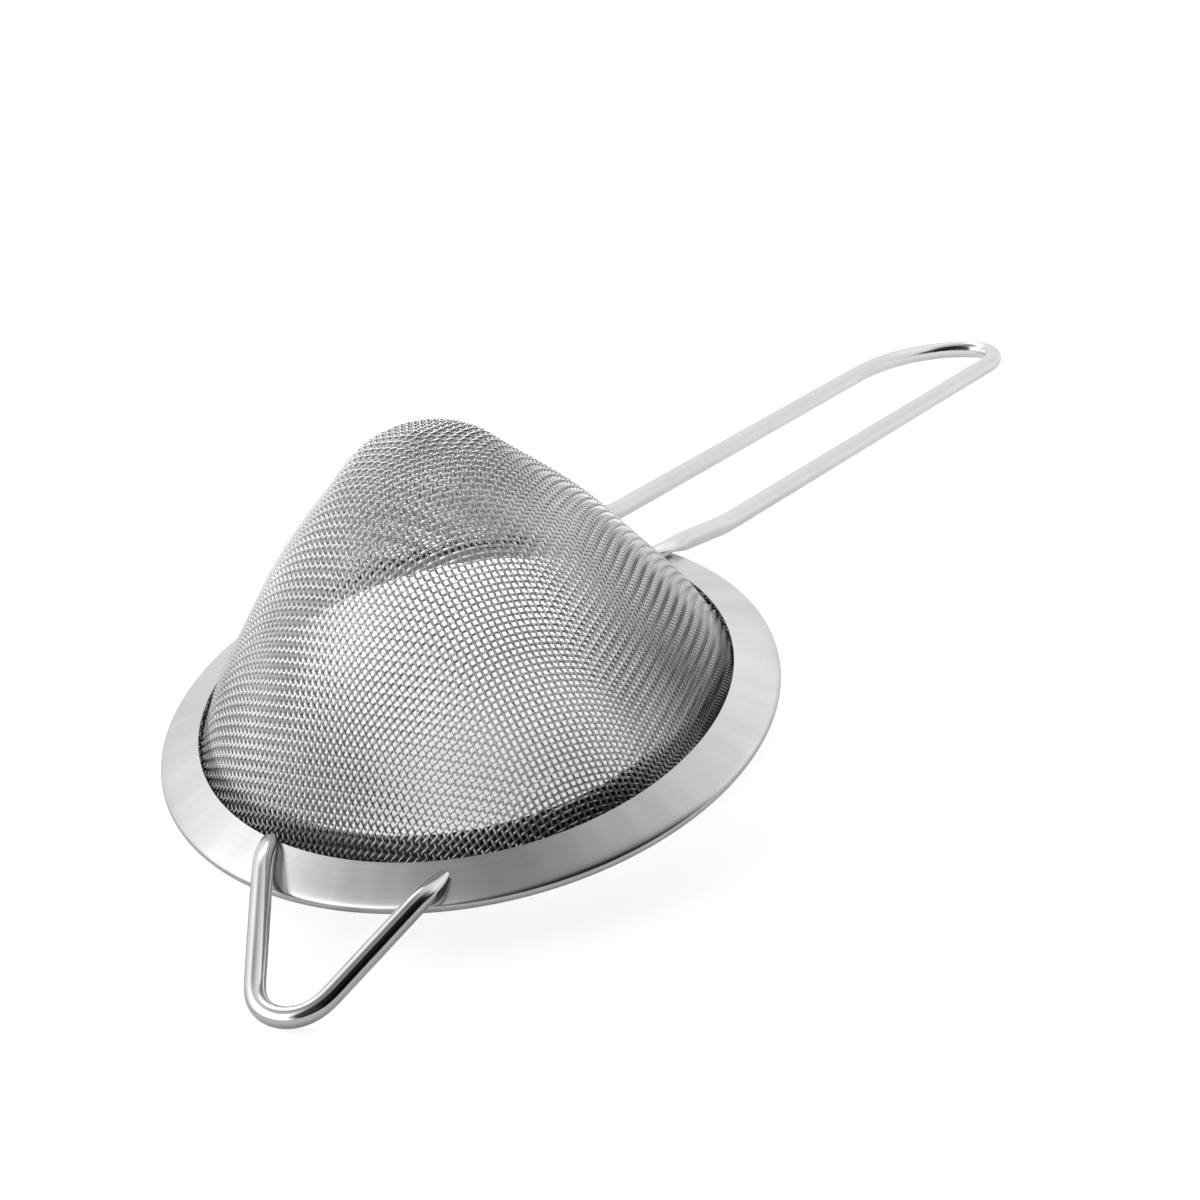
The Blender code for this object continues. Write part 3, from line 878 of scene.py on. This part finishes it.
crossings = lay_cloth()
print(len(crossings), "crossings")

# %% [markdown]
# ## Wires of the cloth
# At a crossing one wire is up and the other down by its own radius, and half way to the next both are
# level. Following one row of crossings gives one wire. The wires are skinned with six sides, which is
# enough for a wire of 0.38 mm, and kept in four pieces to keep each light.


# %% Over and under
def lifted(place, lift):
    """A point of the cloth's middle, raised along the cloth's own direction out."""
    height, along_x, along_y = over(*place)
    out = Vector((-along_x, -along_y, 1)).normalized() * lift
    lean = TIP_LEAN * max(0, (height - fold_height) / (CLOTH_HEIGHT - fold_height))
    towards = Vector((math.cos(TIP_LEAN_TOWARDS), math.sin(TIP_LEAN_TOWARDS), 0))
    return Vector((*place, height)) + out + towards * lean


def wire_points(keys, sign):
    """One wire through these crossings, up at every second one. The sign is 1 or -1 for each set."""
    tops = [lifted(crossings[key], WIRE_RADIUS * sign * (1 if sum(key) % 2 else -1)) for key in keys]
    middles = [lifted(crossings[key], 0) for key in keys]
    points = []
    for k, top in enumerate(tops):
        points.append(top)
        if k + 1 < len(tops):
            points.append((middles[k] + middles[k + 1]) / 2)
    return points


def wire_runs(family):
    """Each wire of one set as the keys of its crossings, in order, above the cut end."""
    reach = max(max(abs(i), abs(j)) for i, j in crossings)
    runs = []
    for fixed in range(-reach, reach + 1):
        run = []
        for moving in range(-reach, reach + 2):
            key = (fixed, moving) if family == 0 else (moving, fixed)
            if key in crossings and math.hypot(*crossings[key]) <= cut_radius:
                run.append(key)
            else:
                if len(run) > 2:
                    runs.append(run)
                run = []
    return runs


# %% Skin of many thin wires
INSIDE_CONE = (0, 0, 0.012)


def thin_wires(name, lines, sides=6):
    """One mesh of closed round wires along the lines, each turned by a point inside the cone."""
    verts = []
    faces = []
    angles = np.linspace(0, 2 * math.pi, sides, endpoint=False)
    round_side = np.cos(angles)[None, :, None]
    round_high = np.sin(angles)[None, :, None]
    inside = in_frame([INSIDE_CONE])[0]
    for line in lines:
        points = in_frame(line)
        heading = np.gradient(points, axis=0)
        heading /= np.linalg.norm(heading, axis=1)[:, None]
        side = np.cross(heading, points - inside)
        side /= np.linalg.norm(side, axis=1)[:, None]
        high = np.cross(side, heading)
        loops = round_side * side[:, None, :] + round_high * high[:, None, :]
        first = len(verts)
        verts.extend((points[:, None, :] + WIRE_RADIUS * loops).reshape(-1, 3))
        for k in range(len(points) - 1):
            here = first + k * sides
            after = here + sides
            for a in range(sides):
                b = (a + 1) % sides
                faces.append((here + a, here + b, after + b, after + a))
        last = first + (len(points) - 1) * sides
        faces.append([first + a for a in range(sides)][::-1])
        faces.append([last + a for a in range(sides)])
    mesh = bpy.data.meshes.new(name)
    mesh.from_pydata(verts, [], faces)
    return mesh


cloth_pieces = []
for family, word, sign in ((0, "warp", 1), (1, "weft", -1)):
    runs = wire_runs(family)
    half = len(runs) // 2
    for part, chosen in (("a", runs[:half]), ("b", runs[half:])):
        name = f"cloth_{word}_{part}"
        mesh = thin_wires(name, [wire_points(run, sign) for run in chosen])
        cloth_pieces.append(add_piece(name, mesh, "mesh_cone"))
        print(name, "has", len(chosen), "wires")

# %% [markdown]
# ## Grain of the metal
# Spinning, drawing and polishing leave fine lines in steel and slow clouds of tone over it. One group
# makes both from noise over the place map of a piece, in metres. A scale of 60 along and 1500 across
# gives lines some 17 mm long and well under a millimetre wide, so each finish sets how its lines and
# clouds are drawn out: round the collar, across it, or along a wire.


# %% Metal grain group
def grain_group():
    group = bpy.data.node_groups.new("metal grain", "ShaderNodeTree")
    for socket in ("Place", "Line Scale", "Cloud Scale"):
        group.interface.new_socket(socket, in_out="INPUT", socket_type="NodeSocketVector")
    for socket in ("Lines", "Clouds"):
        group.interface.new_socket(socket, in_out="OUTPUT", socket_type="NodeSocketFloat")
    source = add_node(group, "NodeGroupInput")
    target = add_node(group, "NodeGroupOutput")
    for scale, result, detail in (("Line Scale", "Lines", 5), ("Cloud Scale", "Clouds", 3)):
        drawn_out = add_node(group, "ShaderNodeVectorMath", operation="MULTIPLY")
        noise = add_node(group, "ShaderNodeTexNoise")
        noise.inputs["Scale"].default_value = 1
        noise.inputs["Detail"].default_value = detail
        join(group, source.outputs["Place"], drawn_out.inputs[0])
        join(group, source.outputs[scale], drawn_out.inputs[1])
        join(group, drawn_out.outputs[0], noise.inputs["Vector"])
        join(group, noise.outputs["Fac"], target.inputs[result])
    return group


metal_grain = grain_group()
print("group", metal_grain.name, "has", len(metal_grain.nodes), "nodes")

# %% [markdown]
# ## Finishes
# Every piece is bare stainless steel. What tells them apart is how each was worked: the collar was
# spun and brushed, the ring pressed and left rough, the handle drawn bright, the rest polished, and
# the cloth's wires are satin. The ring's tone is kept low as painted shade, for the shade it lies in
# under the collar and behind the cloth. Five materials made by hand would repeat the same nodes, so
# one function makes each from its tones, its roughness and its grain.


# %% Steel finish
NOISE_RANGE = (0.3, 0.7)  # most of a noise lies in it
WARMTH = 0.985  # blue against red and green
BUMP_STRENGTH = 0.25


def grey(tone):
    """The colour of steel, a little warmer than grey."""
    return tone, tone, tone * WARMTH, 1


def ranged(tree, value, low, high):
    """A noise spread over the range from low to high."""
    node = add_node(tree, "ShaderNodeMapRange")
    node.inputs["From Min"].default_value, node.inputs["From Max"].default_value = NOISE_RANGE
    node.inputs["To Min"].default_value = low
    node.inputs["To Max"].default_value = high
    join(tree, value, node.inputs["Value"])
    return node.outputs["Result"]


def steel_finish(name, tones, roughness, lines, clouds, bump, mapped=True):
    """Bare steel between two tones and between two roughnesses. Lines and clouds are noise scales."""
    material = bpy.data.materials.new(name)
    material.use_nodes = True
    tree = material.node_tree
    shader = tree.nodes["Principled BSDF"]
    shader.inputs["Metallic"].default_value = 1
    place = add_node(tree, "ShaderNodeTexCoord")
    grain = add_node(tree, "ShaderNodeGroup", node_tree=metal_grain)
    grain.inputs["Line Scale"].default_value = lines
    grain.inputs["Cloud Scale"].default_value = clouds
    tint = add_node(tree, "ShaderNodeMix", data_type="RGBA")
    tint.inputs["A"].default_value, tint.inputs["B"].default_value = [grey(tone) for tone in tones]
    bumps = add_node(tree, "ShaderNodeBump")
    bumps.inputs["Strength"].default_value = BUMP_STRENGTH
    bumps.inputs["Distance"].default_value = bump
    join(tree, place.outputs["UV" if mapped else "Object"], grain.inputs["Place"])
    join(tree, ranged(tree, grain.outputs["Clouds"], 0, 1), tint.inputs["Factor"])
    join(tree, grain.outputs["Lines"], bumps.inputs["Height"])
    join(tree, ranged(tree, grain.outputs["Lines"], *roughness), shader.inputs["Roughness"])
    join(tree, tint.outputs["Result"], shader.inputs["Base Color"])
    join(tree, bumps.outputs["Normal"], shader.inputs["Normal"])
    return material


# %% Finishes of the pieces
spun = steel_finish(
    "spun steel",
    tones=(0.76, 0.86),
    roughness=(0.20, 0.26),
    lines=(60, 1500, 1),
    clouds=(190, 45, 1),
    bump=0.00005,
)
# The ring's low tones are painted shade for the shade under the collar and behind the cloth.
pressed = steel_finish(
    "pressed steel",
    tones=(0.34, 0.42),
    roughness=(0.26, 0.34),
    lines=(100, 1500, 1),
    clouds=(60, 80, 1),
    bump=0.00006,
)
bright = steel_finish(
    "bright drawn wire",
    tones=(0.88, 0.95),
    roughness=(0.16, 0.22),
    lines=(120, 2000, 1),
    clouds=(40, 160, 1),
    bump=0.00004,
)
polished = steel_finish(
    "polished wire",
    tones=(0.84, 0.92),
    roughness=(0.09, 0.13),
    lines=(120, 2000, 1),
    clouds=(40, 160, 1),
    bump=0.00003,
)
woven = steel_finish(
    "woven steel",
    tones=(0.85, 0.95),
    roughness=(0.32, 0.44),
    lines=(1500, 1500, 1500),
    clouds=(150, 150, 150),
    bump=0.00004,
    mapped=False,
)
print("five finishes, such as", spun.name, "with", len(spun.node_tree.nodes), "nodes")

# %% [markdown]
# ## Painted shade at the foot
# The foot of the cloth and the outer side of the ring are much darker than the rest in the
# photograph: they lie in shade under the collar and behind the cloth, and that shade is painted into
# their tone. Each finish is multiplied by a soft mask: for the cloth by the height over the rim, for
# the ring by the way round its section, which the place map holds.


# %% Dark foot
# Shares of the tone left where shade is painted on the ring's outer side and on the foot of the cloth.
RING_PAINTED_SHADE = 0.3
CLOTH_PAINTED_SHADES = (
    # heights over the rim where a painted shade starts and where it is full, and the share of the tone
    # left
    (0.0064, 0.0048, 0.5),
    (0.0220, 0.0060, 0.78),
)


def darkened(material, value, start, end, share):
    """Brings the tone of a finish down to this share where the value goes from start to end."""
    tree = material.node_tree
    tone = tree.nodes["Principled BSDF"].inputs["Base Color"]
    shade = add_node(tree, "ShaderNodeVectorMath", operation="SCALE")
    join(tree, tone.links[0].from_socket, shade.inputs[0])
    join(tree, spread(tree, value, start, end, 1, share), shade.inputs["Scale"])
    join(tree, shade.outputs[0], tone)


def way_round_section(tree):
    """How far round the section of a turned sheet a place lies, in metres."""
    parts = add_node(tree, "ShaderNodeSeparateXYZ")
    join(tree, add_node(tree, "ShaderNodeTexCoord").outputs["UV"], parts.inputs[0])
    return parts.outputs["Y"]


def height_over_rim(tree):
    """How high a place lies along the cone's axis, in metres."""
    up = to_frame.to_3x3() @ Vector((0, 0, 1))
    height = add_node(tree, "ShaderNodeVectorMath", operation="DOT_PRODUCT")
    height.inputs[1].default_value = up
    over_centre = add_node(tree, "ShaderNodeMath", operation="SUBTRACT")
    over_centre.inputs[1].default_value = up.dot(rim_centre)
    join(tree, add_node(tree, "ShaderNodeTexCoord").outputs["Object"], height.inputs[0])
    join(tree, height.outputs["Value"], over_centre.inputs[0])
    return over_centre.outputs[0]


# Painted shade: the outer side of the ring, and the cloth darker towards its foot.
half_way = sum((b - a).length for a, b in zip(ring_line(), ring_line()[1:])) + SHEET
darkened(pressed, way_round_section(pressed.node_tree), half_way - SHEET, half_way, RING_PAINTED_SHADE)
for start, full, share in CLOTH_PAINTED_SHADES:
    darkened(woven, height_over_rim(woven.node_tree), start, full, share)
print("the dark side of the ring starts", round(half_way * 1000, 1), "mm round its section")

# %% [markdown]
# ## Dressing the pieces
# Each piece has one finish all over, so its mesh gets one material. The four pieces of the cloth
# share theirs.

# %% Finishes on the pieces
for finish, pieces in (
    (spun, [collar]),
    (pressed, [ring]),
    (bright, [handle]),
    (polished, [rest]),
    (woven, cloth_pieces),
):
    for piece in pieces:
        piece.data.materials.append(finish)
    print(finish.name, "on", [piece.name for piece in pieces])
